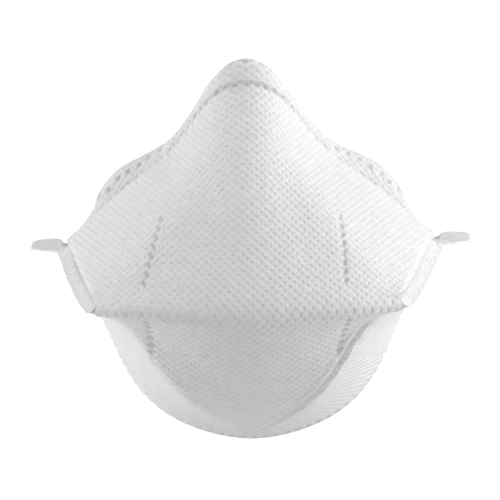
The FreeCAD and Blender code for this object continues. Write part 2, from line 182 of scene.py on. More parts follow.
def form(u, v):
    """Places of points of the laminate's face side. u runs from weld to weld, -1 to 1, and v from
    the chin rim at -1 over the fold at 0 and the crease at 1 to the top edge at 2."""
    u, v = np.broadcast_arrays(np.asarray(u, float), np.asarray(v, float))
    edge = u * u
    fold = np.stack([FOLD_HALF * u, FOLD_Y + FOLD_BOW * edge, FOLD_Z + FOLD_RISE * edge], -1)
    half = (u + 1.0) / 2.0
    crease, brow, chin = CREASE_CURVE.share(half), BROW_CURVE.share(half), CHIN_CURVE.share(half)
    softness = FOLD_SOFTNESS * (1.0 - FOLD_PINCH * edge)
    out = soft(v - 1.0, CREASE_SOFTNESS)
    up = soft(v, softness) - out
    down = soft(-v, softness)
    bend = seam_bend(np.hypot(np.minimum(v, 1.0), softness))
    run = (crease[..., 0] / ROOT_X) ** 2
    loose = np.stack([crease[..., 0], NOSE_Y + LOOSE_Y * run, NOSE_Z - LOOSE_Z * run], -1)
    pinch = np.minimum(up, 1.0) ** PINCH_DEPTH
    place = (fold + up[..., None] * (loose - fold) + pinch[..., None] * (crease - loose)
             + out[..., None] * (brow - crease) + down[..., None] * (chin - fold))
    place[..., 0] += u * bend[..., 0]
    place[..., 1] += edge * bend[..., 1]
    place[..., 2] += edge * bend[..., 2]
    place[..., 2] += (WELD_THICKNESS / 2.0 + WELD_GAP) * v / np.hypot(v, softness)
    middle = 1.0 - edge
    arch = np.sin(np.pi * np.clip(v, 0.0, 1.0)) ** 2
    off_ridge = np.abs(u) - 1.0 + (1.0 - RIDGE_END) * np.clip(v, 0.0, 1.0) ** RIDGE_POWER
    ridge = np.exp(-(off_ridge / RIDGE_WIDTH) ** 2)
    rise = (UPPER_BULGE * middle + RIDGE_HEIGHT * ridge) * arch
    arch = np.sin(np.pi * np.clip(-v, 0.0, 1.0)) ** 2
    ridge = np.exp(-((np.abs(u) - low_ridge_line(v)) / RIDGE_WIDTH) ** 2)
    drop = (LOWER_BULGE * middle + LOW_RIDGE_HEIGHT * ridge) * arch
    return (place + rise[..., None] * np.array([0.0, -0.84, 0.54])
            + drop[..., None] * np.array([0.0, -0.67, -0.74]))


def normal(u, v):
    """The outward directions of the form."""
    u, v = np.broadcast_arrays(np.asarray(u, float), np.asarray(v, float))
    step = 2e-3
    across = form(np.minimum(u + step, 1.0), v) - form(np.maximum(u - step, -1.0), v)
    along = form(u, np.minimum(v + step, 2.0)) - form(u, np.maximum(v - step, -1.0))
    out = np.cross(across, along)
    return out / np.linalg.norm(out, axis=-1, keepdims=True)


def flange_width(u):
    half = (u + 1.0) / 2.0
    return np.linalg.norm(CREASE_CURVE.share(half) - BROW_CURVE.share(half), axis=-1)


def ease(distance, width):
    t = np.clip(distance / width, 0.0, 1.0)
    return 1.0 - t * t * (3.0 - 2.0 * t)


def clip_lift(u, v):
    along = np.abs(u) * CREASE_CURVE.length / 2.0 - CLIP_LENGTH / 2.0 - CLIP_SIDE_GAP
    across = np.abs(v - 1.0 - CLIP_PLACE) * flange_width(u) - CLIP_WIDTH / 2.0 - CLIP_SIDE_GAP
    return (CLIP_THICKNESS + 2.0 * CLIP_GAP) * ease(along, 2.0 * CLIP_EASE) * ease(across, CLIP_EASE)


def noise_field(places, scale, offset):
    """Smooth noise from -1 to 1 over places in millimetres, with features about scale across."""
    flat = places.reshape(-1, places.shape[-1]) / scale + offset
    values = [noise.noise((p[0], p[1], p[2] if len(p) > 2 else 0.37)) for p in flat.tolist()]
    return np.array(values).reshape(places.shape[:-1])


# ---- the cloth laid flat --------------------------------------------------------------------
class FlatCloth:
    """Where each point of the laminate lay, in millimetres, while the sheet was flat: a net of
    points is laid in a plane so that the lengths between them stay as they are on the form."""

    REACHES = ((1, 0), (0, 1), (1, 1), (1, -1), (3, 0), (0, 3), (2, 1), (1, 2), (2, -1), (1, -2))

    def __init__(self):
        self.u = np.linspace(-1.0, 1.0, 41)
        self.v = np.concatenate([np.linspace(-1.0, 0.0, 15), np.linspace(0.0, 1.0, 17)[1:],
                                 np.linspace(1.0, 2.0, 4)[1:]])
        u, v = np.meshgrid(self.u, self.v, indexing="ij")
        start, end = self.pairs(u.shape)
        steps = np.linspace(0.0, 1.0, 9)
        a, b = u.ravel(), v.ravel()
        lines = form(a[start][:, None] + (a[end] - a[start])[:, None] * steps,
                     b[start][:, None] + (b[end] - b[start])[:, None] * steps)
        lengths = np.linalg.norm(np.diff(lines, axis=1), axis=-1).sum(1)
        places = self.relax(self.first_guess(form(u, v)), start, end, lengths)
        self.places = self.upright(places.reshape(u.shape + (2,)))

    def pairs(self, shape):
        index = np.arange(shape[0] * shape[1]).reshape(shape)
        starts, ends = [], []
        for across, along in self.REACHES:
            back = max(0, -along)
            ahead = max(0, along)
            starts.append(index[:shape[0] - across, back:shape[1] - ahead].ravel())
            ends.append(index[across:, ahead:shape[1] - back].ravel())
        return np.concatenate(starts), np.concatenate(ends)

    def first_guess(self, points):
        middle, fold = len(self.u) // 2, int(np.argmin(np.abs(self.v)))
        across = np.cumsum(np.linalg.norm(np.diff(points, axis=0, prepend=points[:1]), axis=-1), 0)
        along = np.cumsum(np.linalg.norm(np.diff(points, axis=1, prepend=points[:, :1]), axis=-1), 1)
        return np.stack([across - across[middle], along - along[:, [fold]]], -1).reshape(-1, 2)

    def relax(self, places, start, end, lengths, rounds=90):
        count = len(places)
        weight = 1.0 / lengths
        net = np.zeros((count, count))
        np.add.at(net, (start, end), -weight)
        np.add.at(net, (end, start), -weight)
        np.add.at(net, (start, start), weight)
        np.add.at(net, (end, end), weight)
        solve = np.linalg.inv(net + 1.0 / count)
        for _ in range(rounds):
            apart = places[start] - places[end]
            pull = (weight * lengths / np.linalg.norm(apart, axis=1))[:, None] * apart
            sums = np.zeros_like(places)
            np.add.at(sums, start, pull)
            np.add.at(sums, end, -pull)
            places = solve @ sums
        return places

    def upright(self, places):
        middle, fold = len(self.u) // 2, int(np.argmin(np.abs(self.v)))
        places = places - places[middle, fold]
        along = places[middle + 3, fold] - places[middle - 3, fold]
        c, s = along / np.linalg.norm(along)
        return places @ np.array([[c, -s], [s, c]])

    def at(self, u, v):
        i = np.clip(np.searchsorted(self.u, u, side="right") - 1, 0, len(self.u) - 2)
        j = np.clip(np.searchsorted(self.v, v, side="right") - 1, 0, len(self.v) - 2)
        a = ((u - self.u[i]) / (self.u[i + 1] - self.u[i]))[..., None]
        b = ((v - self.v[j]) / (self.v[j + 1] - self.v[j]))[..., None]
        near = self.places[i, j] * (1.0 - a) + self.places[i + 1, j] * a
        far = self.places[i, j + 1] * (1.0 - a) + self.places[i + 1, j + 1] * a
        return near * (1.0 - b) + far * b

    def size(self):
        return tuple(float(size) for size in np.ptp(self.places.reshape(-1, 2), axis=0) * MM)

    def area(self):
        """In square metres, from the diagonals of the net's meshes."""
        one = self.places[1:, 1:] - self.places[:-1, :-1]
        other = self.places[:-1, 1:] - self.places[1:, :-1]
        return float(np.abs(np.cross(one, other)).sum() / 2.0 * MM * MM)


FLAT = FlatCloth()


# ---- relief of the cover --------------------------------------------------------------------
def stroke(flat, x, y, length, width, turn):
    """1 on a rounded stroke in the flat cloth and 0 off it."""
    c, s = math.cos(turn), math.sin(turn)
    dx, dy = flat[..., 0] - x, flat[..., 1] - y
    along, across = (dx * c + dy * s) / (length / 2.0), (dy * c - dx * s) / (width / 2.0)
    far = along ** 4 + across ** 4
    return np.where(far < 8.0, np.exp(-far), 0.0)


def panel_welds(flat):
    """The columns of short strokes that weld the layers to each other on both panels."""
    press = np.zeros(flat.shape[:-1])
    for side, top, top_lean, bottom, bottom_lean in PANEL_WELDS:
        for k in range(WELD_COUNT):
            y = UPPER_WELD_START + WELD_PITCH * k
            x = side * (top - top_lean * y)
            press = np.maximum(press, stroke(flat, x, y, *UPPER_WELD_SIZE, UPPER_WELD_TURN * side))
            y = LOWER_WELD_START + WELD_PITCH * k
            x = side * (bottom - bottom_lean * y)
            press = np.maximum(press, stroke(flat, x, -y, *LOWER_WELD_SIZE, LOWER_WELD_TURN * side))
    return press


def rim_welds(flat):
    """Slanting strokes just inside the chin rim."""
    press = np.zeros(flat.shape[:-1])
    rim_u = np.linspace(-0.95, 0.95, CHIN_WELD_COUNT)
    rim_v = np.full(CHIN_WELD_COUNT, -1.0)
    rim = FLAT.at(rim_u, rim_v)
    ahead = FLAT.at(rim_u + 0.01, rim_v) - rim
    for (x, y), (dx, dy) in zip(rim, ahead):
        size = math.hypot(dx, dy)
        x, y = x - dy / size * CHIN_WELD_INSET, y + dx / size * CHIN_WELD_INSET
        mark = stroke(flat, x, y, *CHIN_WELD_SIZE, math.atan2(dy, dx) + CHIN_WELD_TURN)
        press = np.maximum(press, CHIN_WELD_DEPTH * mark)
    return press


def flange_welds(u, v):
    """Two rows of dots on the band round the nose: small ones beside the crease, and larger
    uneven ones outside the nose clip."""
    along = u * CREASE_CURVE.length / 2.0
    across = (v - 1.0) * flange_width(u)
    place = np.stack([along, across], -1)
    press = np.zeros(along.shape)
    for k in range(-26, 27):
        x, strength = 3.4 * k + 0.9 * noise.noise((1.9 * k, 5.3, 0.0)), noise.noise((2.3 * k, 0.0, 8.1))
        press = np.maximum(press, (0.4 + 0.6 * strength) * stroke(place, x, 1.3, 1.6, 1.1, 0.0))
    for k in range(-17, 18):
        x, jitter = 4.9 * k + 1.6 * noise.noise((0.7 * k, 3.1, 0.0)), noise.noise((1.3 * k, 0.0, 2.2))
        beside_clip = abs(x) < CLIP_LENGTH / 2.0 + 3.0
        y = 10.3 + 0.4 * jitter if beside_clip else 6.0 + 4.0 * jitter
        size = (1.3 if beside_clip else 2.1) + noise.noise((0.9 * k, 7.7, 0.0))
        press = np.maximum(press, stroke(place, x, y, size, size, 0.0))
    return press


def ridge_folds(u, v):
    """The sharp crease with a groove beside it on the right-hand lower panel, and the softer
    one on the left."""
    down = np.clip(-v, 0.0, 1.0)
    off = (np.abs(u) - low_ridge_line(v)) * (FOLD_HALF + 30.0 * down)
    reach = ease(np.abs(down - 0.5) - 0.22, 0.2)
    groove = -1.1 * np.exp(-((off + 2.4) / 1.1) ** 2) + 0.8 * np.exp(-((off - 0.4) / 1.0) ** 2)
    groove = groove + 0.6 * np.exp(-((off + 5.2) / 1.2) ** 2)
    swell = 0.8 * np.exp(-((off + 1.0) / 4.5) ** 2)
    return np.where(u > 0, groove, swell) * reach


def tab_wrinkles(flat, u):
    """Fine creases that fan out from each side weld's rear end."""
    height, reach, creases = 0.2, 19.0, 13.0
    out = np.zeros(flat.shape[:-1])
    for side in (-1.0, 1.0):
        root = FLAT.at(np.array(side), np.array(1.0))
        dx, dy = side * (flat[..., 0] - root[0]), flat[..., 1] - root[1]
        far = np.hypot(dx, dy)
        turn = np.arctan2(dy, -dx)
        fade = ease(far - 3.0, reach) * np.clip(far / 4.0, 0.0, 1.0)
        fan = np.sin(creases * turn + 1.3 * np.sin(4.0 * turn))
        out = out + np.where(u * side > 0, height * fan * fade, 0.0)
    return out


def edge_press(u, v):
    """1 well inside the laminate, falling to what is left of its thickness at rims and welds."""
    rim = (v + 1.0) * 84.0
    top = (2.0 - v) * flange_width(u)
    side = (1.0 - np.abs(u)) * (FOLD_HALF + 40.0 * np.abs(np.clip(v, -1.0, 1.0)))
    press = np.maximum(ease(rim, EDGE_PRESS_WIDTH), ease(top, EDGE_PRESS_WIDTH))
    press = np.maximum(press, ease(side, WELD_PRESS_WIDTH) * ease(0.25 - np.abs(v), 0.2))
    return 1.0 - EDGE_PRESS * press


def waves(points):
    """Soft unevenness of padded cloth."""
    return 0.32 * noise_field(points, 19.0, 3.1) + 0.12 * noise_field(points, 7.0, 9.4)


# ---- meshes --------------------------------------------------------------------------------
def grid_object(name, points, maps=None, fields=None):
    """A mesh from a grid of points in millimetres, with UV maps and number fields on its points."""
    rows, columns = points.shape[:2]
    index = np.arange(rows * columns).reshape(rows, columns)
    faces = np.stack([index[:-1, :-1], index[1:, :-1], index[1:, 1:], index[:-1, 1:]], -1).reshape(-1, 4)
    mesh = bpy.data.meshes.new(name)
    mesh.from_pydata((points.reshape(-1, 3) * MM).tolist(), [], faces.tolist())
    for title, values in (maps or {}).items():
        uv = mesh.uv_layers.new(name=title)
        uv.data.foreach_set("uv", values.reshape(-1, 2)[faces.reshape(-1)].astype(np.float32).ravel())
    for title, values in (fields or {}).items():
        field = mesh.attributes.new(title, "FLOAT", "POINT")
        field.data.foreach_set("value", np.broadcast_to(values, points.shape[:2]).astype(np.float32).ravel())
    mesh.polygons.foreach_set("use_smooth", np.ones(len(faces), bool))
    mesh.update()
    obj = bpy.data.objects.new(name, mesh)
    bpy.context.scene.collection.objects.link(obj)
    return obj


def spread(stops, counts):
    """Values running through stops, with a number of steps between each two."""
    out = [np.array([stops[0]])]
    for a, b, n in zip(stops, stops[1:], counts):
        out.append(np.linspace(a, b, max(2, int(round(n * DETAIL))) + 1)[1:])
    return np.concatenate(out)


def cloth_grid(columns, rows):
    u = np.linspace(-1.0, 1.0, 2 * (int(columns * DETAIL) // 2) + 1)
    shares = (0.06, 0.3, 0.08, 0.08, 0.32, 0.05, 0.05, 0.12)
    v = spread([-1.0, -0.9, -0.12, 0.0, 0.12, 0.9, 1.0, 1.1, 2.0], [rows * s for s in shares])
    return np.meshgrid(u, v, indexing="ij")


def layer(name, start, columns, rows):
    """One plain sheet of the laminate at a distance off the form."""
    u, v = cloth_grid(columns, rows)
    off = start * edge_press(u, v)
    points = form(u, v) + normal(u, v) * off[..., None]
    return grid_object(name, points, {"cloth": FLAT.at(u, v)}, {"press": 1.0 - edge_press(u, v)})


def cover():
    """The outer sheet, with its welds and folds, and its rims turned down over the layers."""
    u, v = cloth_grid(*COVER_GRID)
    flat = FLAT.at(u, v)
    base, out = form(u, v), normal(u, v)
    welds = np.maximum(panel_welds(flat), rim_welds(flat))
    welds = np.maximum(welds, np.where(v > 1.0, flange_welds(u, v), 0.0))
    relief = ridge_folds(u, v) + tab_wrinkles(flat, u) + waves(base) * ease(np.abs(u) - 0.75, 0.25)
    relief = relief * np.clip((v + 1.0) * 12.0, 0.0, 1.0) * np.clip((2.0 - v) * 3.0, 0.0, 1.0)
    off = (LAMINATE + clip_lift(u, v)) * edge_press(u, v) + relief - WELD_DEPTH * welds
    points = base + out * off[..., None]
    press = np.maximum(welds, (1.0 - edge_press(u, v)) * 0.35)
    rows = [(points, flat, press)]
    for end, back in ((0, 1), (-1, -2)):
        rim, inside = points[:, end], points[:, back]
        outward = rim - inside
        outward /= np.linalg.norm(outward, axis=-1, keepdims=True)
        turned = []
        for turn in (0.35, 0.7, 1.0):
            angle = turn * math.pi
            down = off[:, end] * (1.0 - math.cos(angle)) / 2.0
            swell = HEM_TURN / 2.0 * math.sin(angle)
            turned.append(rim + outward * swell - out[:, end] * down[:, None])
        turned = np.stack(turned, 1)
        width = np.array([0.5, 1.0, 1.5])[None, :, None] * np.array([0.0, -1.0 if end == 0 else 1.0])
        uv = flat[:, [end]] + width
        edge = (turned, uv, np.repeat(press[:, [end]], 3, 1))
        if end == 0:
            rows.insert(0, tuple(part[:, ::-1] for part in edge))
        else:
            rows.append(edge)
    points, flat, press = (np.concatenate(parts, 1) for parts in zip(*rows))
    return grid_object("cover_cloth", points, {"cloth": flat}, {"press": press})


def ring_grid(rings):
    """Closes rings of points, given one after another, into tube columns."""
    rings = np.asarray(rings)
    return np.concatenate([rings, rings[:, :1]], 1)


def rounded_section(width, thickness, count, square=3.5):
    """Points round a flat section with rounded edges, in (across, up)."""
    turn = np.linspace(0.0, 2.0 * math.pi, count, endpoint=False)
    c, s = np.cos(turn), np.sin(turn)
    across = np.sign(c) * np.abs(c) ** (2.0 / square) * width / 2.0
    up = np.sign(s) * np.abs(s) ** (2.0 / square) * thickness / 2.0
    return np.stack([across, up], -1)


def capped(rings, count=CAP_RINGS):
    """Rings with shrinking ones added at both ends, so that the body is closed and rounded."""
    rings = list(rings)
    first, last = rings[0], rings[-1]
    for ends, step in (((first, rings[1]), -1), ((last, rings[-2]), 1)):
        ring, inner = ends
        middle = ring.mean(0)
        ahead = (ring - inner).mean(0)
        ahead /= np.linalg.norm(ahead)
        bulge = np.ptp(ring, axis=0).min() * 0.25 + 0.1
        made = []
        for k in range(1, count + 1):
            angle = k / count * math.pi / 2.0
            made.append(middle + (ring - middle) * max(math.cos(angle), 0.001)
                        + ahead * bulge * math.sin(angle))
        rings = made[::-1] + rings if step < 0 else rings + made
    return rings


def capped_maps(maps):
    """The maps of a row of rings, with the end ones repeated for the caps."""
    return ring_grid([maps[0]] * CAP_RINGS + maps + [maps[-1]] * CAP_RINGS)


def side_margin(side):
    """The pressed, ribbed margin along a side weld, from the fold's end to the tab. It thickens
    inwards, to close the gap between the edges of the two panels."""
    last = (TAB_FRONT + 1.5 - SEAM[0][1]) / (SEAM[-1][1] - SEAM[0][1])
    out = np.array([1.0, -0.12, -0.05])
    out /= np.linalg.norm(out)
    section_count = 44
    rings, maps = [], []
    for share in np.linspace(MARGIN_START, last, max(60, int(260 * DETAIL))):
        edge = SEAM_CURVE.share(share)
        run = (share - MARGIN_START) * SEAM_CURVE.length
        full = WELD_WIDTH * (1.0 - MARGIN_TAPER * float(ease(run - 2.0, WELD_TAPER_LENGTH)))
        width = full * math.sqrt(min(run / 2.0 + 0.55, 1.0)) + MARGIN_TUCK
        width += 0.2 * noise.noise((run / 5.0, 1.7, side))
        rib = math.cos(2.0 * math.pi * (run + 0.3 * noise.noise((run / 3.0, 0.0, side))) / RIB_PITCH)
        section = rounded_section(width, MARGIN_THICKNESS * (0.93 + 0.07 * rib), section_count, 4.0)
        inward = ease(section[:, 0] / width + 0.5, 1.0)
        section[:, 1] = section[:, 1] * (1.0 + MARGIN_SWELL * inward) + MARGIN_LIFT * inward
        middle = edge + out * (width / 2.0 - MARGIN_TUCK)
        lift = 0.3 * noise.noise((run / 9.0, 4.4, side)) + 0.05 * rib
        ring = middle + section[:, :1] * out + (section[:, 1:] + lift) * np.array([0.0, 0.0, 1.0])
        rings.append(ring * np.array([side, 1.0, 1.0]))
        maps.append(np.stack([section[:, 0], np.full(section_count, run)], -1))
    name = ("right" if side > 0 else "left") + "_side_margin"
    return grid_object(name, ring_grid(capped(rings)), {"cloth": capped_maps(maps)})


def tab_span(y):
    """The tab's inner and outer edge at a Y, without its rounded corners."""
    root_front = SEAM_CURVE.share((TAB_FRONT - SEAM[0][1]) / (SEAM[-1][1] - SEAM[0][1]))[0]
    behind_rim = ROOT_Y + 5.0
    inner = np.interp(y, [TAB_FRONT, ROOT_Y - 2.0, behind_rim - 2.4, behind_rim, TAB_REAR],
                      [root_front + WELD_CLEAR, ROOT_X + WELD_CLEAR, ROOT_X + WELD_CLEAR + 0.8,
                       ROOT_X + TAB_INSET, ROOT_X + TAB_INSET])
    outer = np.interp(y, [TAB_FRONT, TAB_FRONT + 9.0, TAB_REAR],
                      [root_front + WELD_WIDTH, ROOT_X + TAB_REACH, ROOT_X + TAB_REACH])
    return inner, outer


def strap_tab(side):
    """A flat welded tab with shallow ribs and soft rounded edges."""
    stations = np.linspace(TAB_FRONT, TAB_REAR, max(40, int(150 * DETAIL)))
    count = 56
    rear_outer, rear_inner, front = (share * TAB_CORNER for share in TAB_ROUNDING)
    rings, maps = [], []
    for y in stations:
        inner, outer = tab_span(y)
        inner -= TAB_TUCK * float(ease(y - ROOT_Y - 1.0, 3.0))
        ahead = min((y - TAB_FRONT) / TAB_CORNER, 1.0)
        behind = min((TAB_REAR - y) / TAB_CORNER, 1.0)
        outer -= rear_outer * (1.0 - math.sqrt(1.0 - (1.0 - behind) ** 2))
        inner += rear_inner * (1.0 - math.sqrt(1.0 - (1.0 - behind) ** 2))
        outer -= front * (1.0 - math.sqrt(1.0 - (1.0 - ahead) ** 2))
        width = outer - inner
        section = rounded_section(width, TAB_THICKNESS, count, 5.0)
        x = (inner + outer) / 2.0 + section[:, 0]
        rib = 0.09 * np.cos(2.0 * math.pi * x / 1.6) * np.sign(section[:, 1])
        press = 0.82 + 0.18 * ease(np.abs(np.abs(y - 9.0) - 7.0), 1.2)
        droop = 0.35 * ((x - ROOT_X) / TAB_REACH) ** 2 * math.sin(y / 5.0)
        rear = float(ease(y - ROOT_Y, 3.0))
        swell = 1.0 + TAB_SWELL * ease(section[:, 0] + width / 2.0, 3.5) * rear
        ribbed = rib * ease(np.abs(section[:, 0]) - width * 0.3, 2.0)
        z = section[:, 1] * press * swell + ribbed + droop * 0.6
        rings.append(np.stack([side * x, np.full(count, y), z], -1))
        maps.append(np.stack([x, np.full(count, y)], -1))
    name = ("right" if side > 0 else "left") + "_tab"
    return grid_object(name, ring_grid(capped(rings)), {"cloth": capped_maps(maps)})


def nose_foam():
    """The soft strip inside the nose, with its edges rounded by its own give."""
    stations = np.linspace(-1.0, 1.0, max(80, int(220 * DETAIL))) * FOAM_LENGTH / CREASE_CURVE.length
    section = rounded_section(1.0, 1.0, 36, 3.2)
    rings, maps = [], []
    for u in stations:
        width = float(flange_width(u))
        swell = 1.0 + 0.03 * noise.noise((u * 30.0, 2.0, 5.0))
        v = 1.0 + CLIP_PLACE + section[:, 0] * FOAM_WIDTH / width
        place, out = form(u, v), normal(u, v)
        up = section[:, 1] * FOAM_THICKNESS * swell
        start = -FOAM_GAP - FOAM_THICKNESS / 2.0
        rings.append(place + out * (start + up)[:, None])
        maps.append(np.stack([section[:, 0] * FOAM_WIDTH, np.full(36, u * 100.0)], -1))
    return grid_object("nose_foam_strip", ring_grid(capped(rings)), {"cloth": capped_maps(maps)})


def strap_middle(strap):
    upper = TAB_REAR - STRAP_EDGE - STRAP_WIDTH / 2.0
    return upper if strap == "upper" else upper - STRAP_WIDTH - STRAP_SPACE


STRAP_LEVEL = -TAB_THICKNESS / 2.0 - STRAP_GAP - STRAP_THICKNESS / 2.0


def strap_half(strap, sag, side):
    """Half of a strap, from the middle of its bow to the end welded under a tab."""
    reach = ROOT_X + TAB_INSET - STRAP_JOINT_GAP - STRAP_THICKNESS / 2.0
    tip = ROOT_X + TAB_INSET + STRAP_HOLD
    free = np.linspace(0.0, reach, max(60, int(200 * DETAIL)))
    x = np.concatenate([free, np.linspace(reach, tip, 26)[1:]])
    drop = sag * (1.0 - (np.minimum(x, reach) / reach) ** 2)
    smooth = sag * 2.0 / reach * STRAP_TURN
    rest = np.maximum(x - reach + STRAP_TURN, 0.0)
    bend = smooth * np.clip(STRAP_TURN - rest, 0.0, STRAP_TURN) ** 2 / (2.0 * STRAP_TURN)
    drop = np.where(x > reach - STRAP_TURN, bend, drop)
    line = np.stack([x, np.full_like(x, strap_middle(strap)), STRAP_LEVEL - drop], -1)
    ahead = np.gradient(line, axis=0)
    ahead /= np.linalg.norm(ahead, axis=-1, keepdims=True)
    run = np.concatenate([[0.0], np.cumsum(np.linalg.norm(np.diff(line, axis=0), axis=-1))])
    sideways = np.array([0.0, 1.0, 0.0])
    rings, maps = [], []
    count = 44
    for place, direction, at in zip(line, ahead, run):
        up = np.cross(direction, sideways)
        up = -up if up[2] < 0 else up
        section = rounded_section(STRAP_WIDTH, STRAP_THICKNESS, count, 5.0)
        cords = 1.0 + 0.13 * np.cos(2.0 * math.pi * section[:, 0] / CORD_PITCH)
        weld_row = float(ease(abs((tip - place[0]) % 2.8 - 1.4), 0.5))
        pressed = 1.0 - 0.35 * weld_row * (place[0] > reach + 1.0)
        wave = 0.07 * noise.noise((at / 6.0, strap_middle(strap), side))
        ring = place + section[:, :1] * sideways * (1.0 + 0.4 * wave)
        ring = ring + (section[:, 1] * cords * pressed)[:, None] * up
        rings.append(ring * np.array([side, 1.0, 1.0]))
        maps.append(np.stack([section[:, 0], np.full(count, at)], -1))
    name = f"{strap}_strap_webbing_" + ("right" if side > 0 else "left")
    return grid_object(name, ring_grid(rings), {"cloth": ring_grid(maps)})


# ---- materials -----------------------------------------------------------------------------
class Nodes:
    """Short ways to add shader nodes to a material."""

    def __init__(self, name):
        self.material = bpy.data.materials.new(name)
        self.material.use_nodes = True
        self.tree = self.material.node_tree
        self.shader = self.tree.nodes["Principled BSDF"]

    def put(self, socket, value):
        if isinstance(value, (int, float)):
            socket.default_value = value
        elif isinstance(value, tuple):
            socket.default_value = (*value, 1.0) if len(value) == 3 and socket.type == "RGBA" else value
        else:
            self.tree.links.new(value, socket)

    def math(self, kind, a, b=0.0, c=0.0):
        node = self.tree.nodes.new("ShaderNodeMath")
        node.operation = kind
        for socket, value in zip(node.inputs, (a, b, c)):
            self.put(socket, value)
        return node.outputs[0]

    def uv(self, name="cloth"):
        node = self.tree.nodes.new("ShaderNodeUVMap")
        node.uv_map = name
        return node.outputs[0]

    def place(self):
        return self.tree.nodes.new("ShaderNodeTexCoord").outputs["Object"]

    def field(self, name):
        node = self.tree.nodes.new("ShaderNodeAttribute")
        node.attribute_name = name
        return node.outputs["Fac"]

    def stretched(self, vector, scale, turn=0.0):
        node = self.tree.nodes.new("ShaderNodeMapping")
        self.put(node.inputs["Vector"], vector)
        node.inputs["Scale"].default_value = scale
        node.inputs["Rotation"].default_value = (0.0, 0.0, turn)
        return node.outputs[0]

    def noise(self, vector, scale, detail=2.0, rough=0.5, distortion=0.0):
        node = self.tree.nodes.new("ShaderNodeTexNoise")
        self.put(node.inputs["Vector"], vector)
        for title, value in (("Scale", scale), ("Detail", detail), ("Roughness", rough),
                             ("Distortion", distortion)):
            node.inputs[title].default_value = value
        return node.outputs["Fac"]

    def ramp(self, value, low, high, to_low=0.0, to_high=1.0):
        node = self.tree.nodes.new("ShaderNodeMapRange")
        node.interpolation_type = "SMOOTHSTEP"
        for socket, item in zip(node.inputs, (value, low, high, to_low, to_high)):
            self.put(socket, item)
        return node.outputs[0]

    def mix(self, share, a, b):
        node = self.tree.nodes.new("ShaderNodeMix")
        node.data_type = "RGBA"
        self.put(node.inputs[0], share)
        self.put(node.inputs[6], a)
        self.put(node.inputs[7], b)
        return node.outputs[2]

    def split(self, vector):
        node = self.tree.nodes.new("ShaderNodeSeparateXYZ")
        self.put(node.inputs[0], vector)
        return node.outputs[0], node.outputs[1]

    def sum(self, *values):
        total = values[0]
        for value in values[1:]:
            total = self.math("ADD", total, value)
        return total

    def finish(self, colour, height, roughness=0.8, specular=0.2):
        """Height is in millimetres."""
        bump = self.tree.nodes.new("ShaderNodeBump")
        bump.inputs["Strength"].default_value = 1.0
        bump.inputs["Distance"].default_value = MM
        self.put(bump.inputs["Height"], height)
        self.put(self.shader.inputs["Normal"], bump.outputs[0])
        self.put(self.shader.inputs["Base Color"], colour)
        self.put(self.shader.inputs["Roughness"], roughness)
        self.shader.inputs["Specular IOR Level"].default_value = specular
        return self.material


def bond_pattern(nodes, cloth):
    """-1 in the middle of a bonding dent and 1 on the top of a pillow between four of them."""
    wander = nodes.noise(cloth, 0.35, 1.0)
    x, y = nodes.split(cloth)
    x = nodes.math("ADD", x, nodes.math("MULTIPLY", nodes.math("SUBTRACT", wander, 0.5), 1.6))
    waves = [nodes.math("COSINE", nodes.math("MULTIPLY", value, math.pi / pitch))
             for value, pitch in ((x, BOND_X), (y, BOND_Y))]
    return nodes.math("MULTIPLY", *waves)


def nonwoven(name, colour, dent_depth, fibre_depth, press_name="press"):
    nodes = Nodes(name)
    cloth = nodes.uv()
    pattern = bond_pattern(nodes, cloth)
    patchy = nodes.ramp(nodes.noise(cloth, 0.6, 2.0), 0.3, 0.7, 0.55, 1.0)
    dents = nodes.math("MULTIPLY", nodes.ramp(pattern, -0.15, -0.75), patchy)
    fibres = [nodes.noise(nodes.stretched(cloth, size, turn), 1.0, 3.0, 0.6, 0.4)
              for size, turn in (((5.0, 1.1, 1.0), 0.5), ((1.2, 5.5, 1.0), 0.3))]
    fibre = nodes.math("SUBTRACT", nodes.sum(*fibres), 1.0)
    cloud = nodes.noise(cloth, 0.28, 3.0, 0.6)
    press = nodes.field(press_name)
    soft = nodes.math("SUBTRACT", 1.0, nodes.math("MULTIPLY", press, 0.6))
    height = nodes.sum(
        nodes.math("MULTIPLY", nodes.math("MULTIPLY", dents, -dent_depth), soft),
        nodes.math("MULTIPLY", nodes.math("MULTIPLY", pattern, dent_depth * 0.35), soft),
        nodes.math("MULTIPLY", fibre, fibre_depth),
    )
    # the bonding dents are painted darker than the cloth round them: painted shade in the hollows
    darker = tuple(c * 0.87 for c in colour)
    wear_and_dent_shade = nodes.mix(nodes.math("MULTIPLY", dents, 0.75), colour, darker)
    lighter = tuple(min(c * 1.06, 0.95) for c in colour)
    clouded = nodes.mix(nodes.ramp(cloud, 0.35, 0.7, 0.0, 0.55), wear_and_dent_shade, lighter)
    pressed = nodes.mix(nodes.math("MULTIPLY", press, 0.8), clouded, tuple(c * 0.74 for c in colour))
    rough = nodes.math("SUBTRACT", 0.85, nodes.math("MULTIPLY", nodes.math("MAXIMUM", press, dents), 0.3))
    return nodes.finish(pressed, height, rough, 0.25)


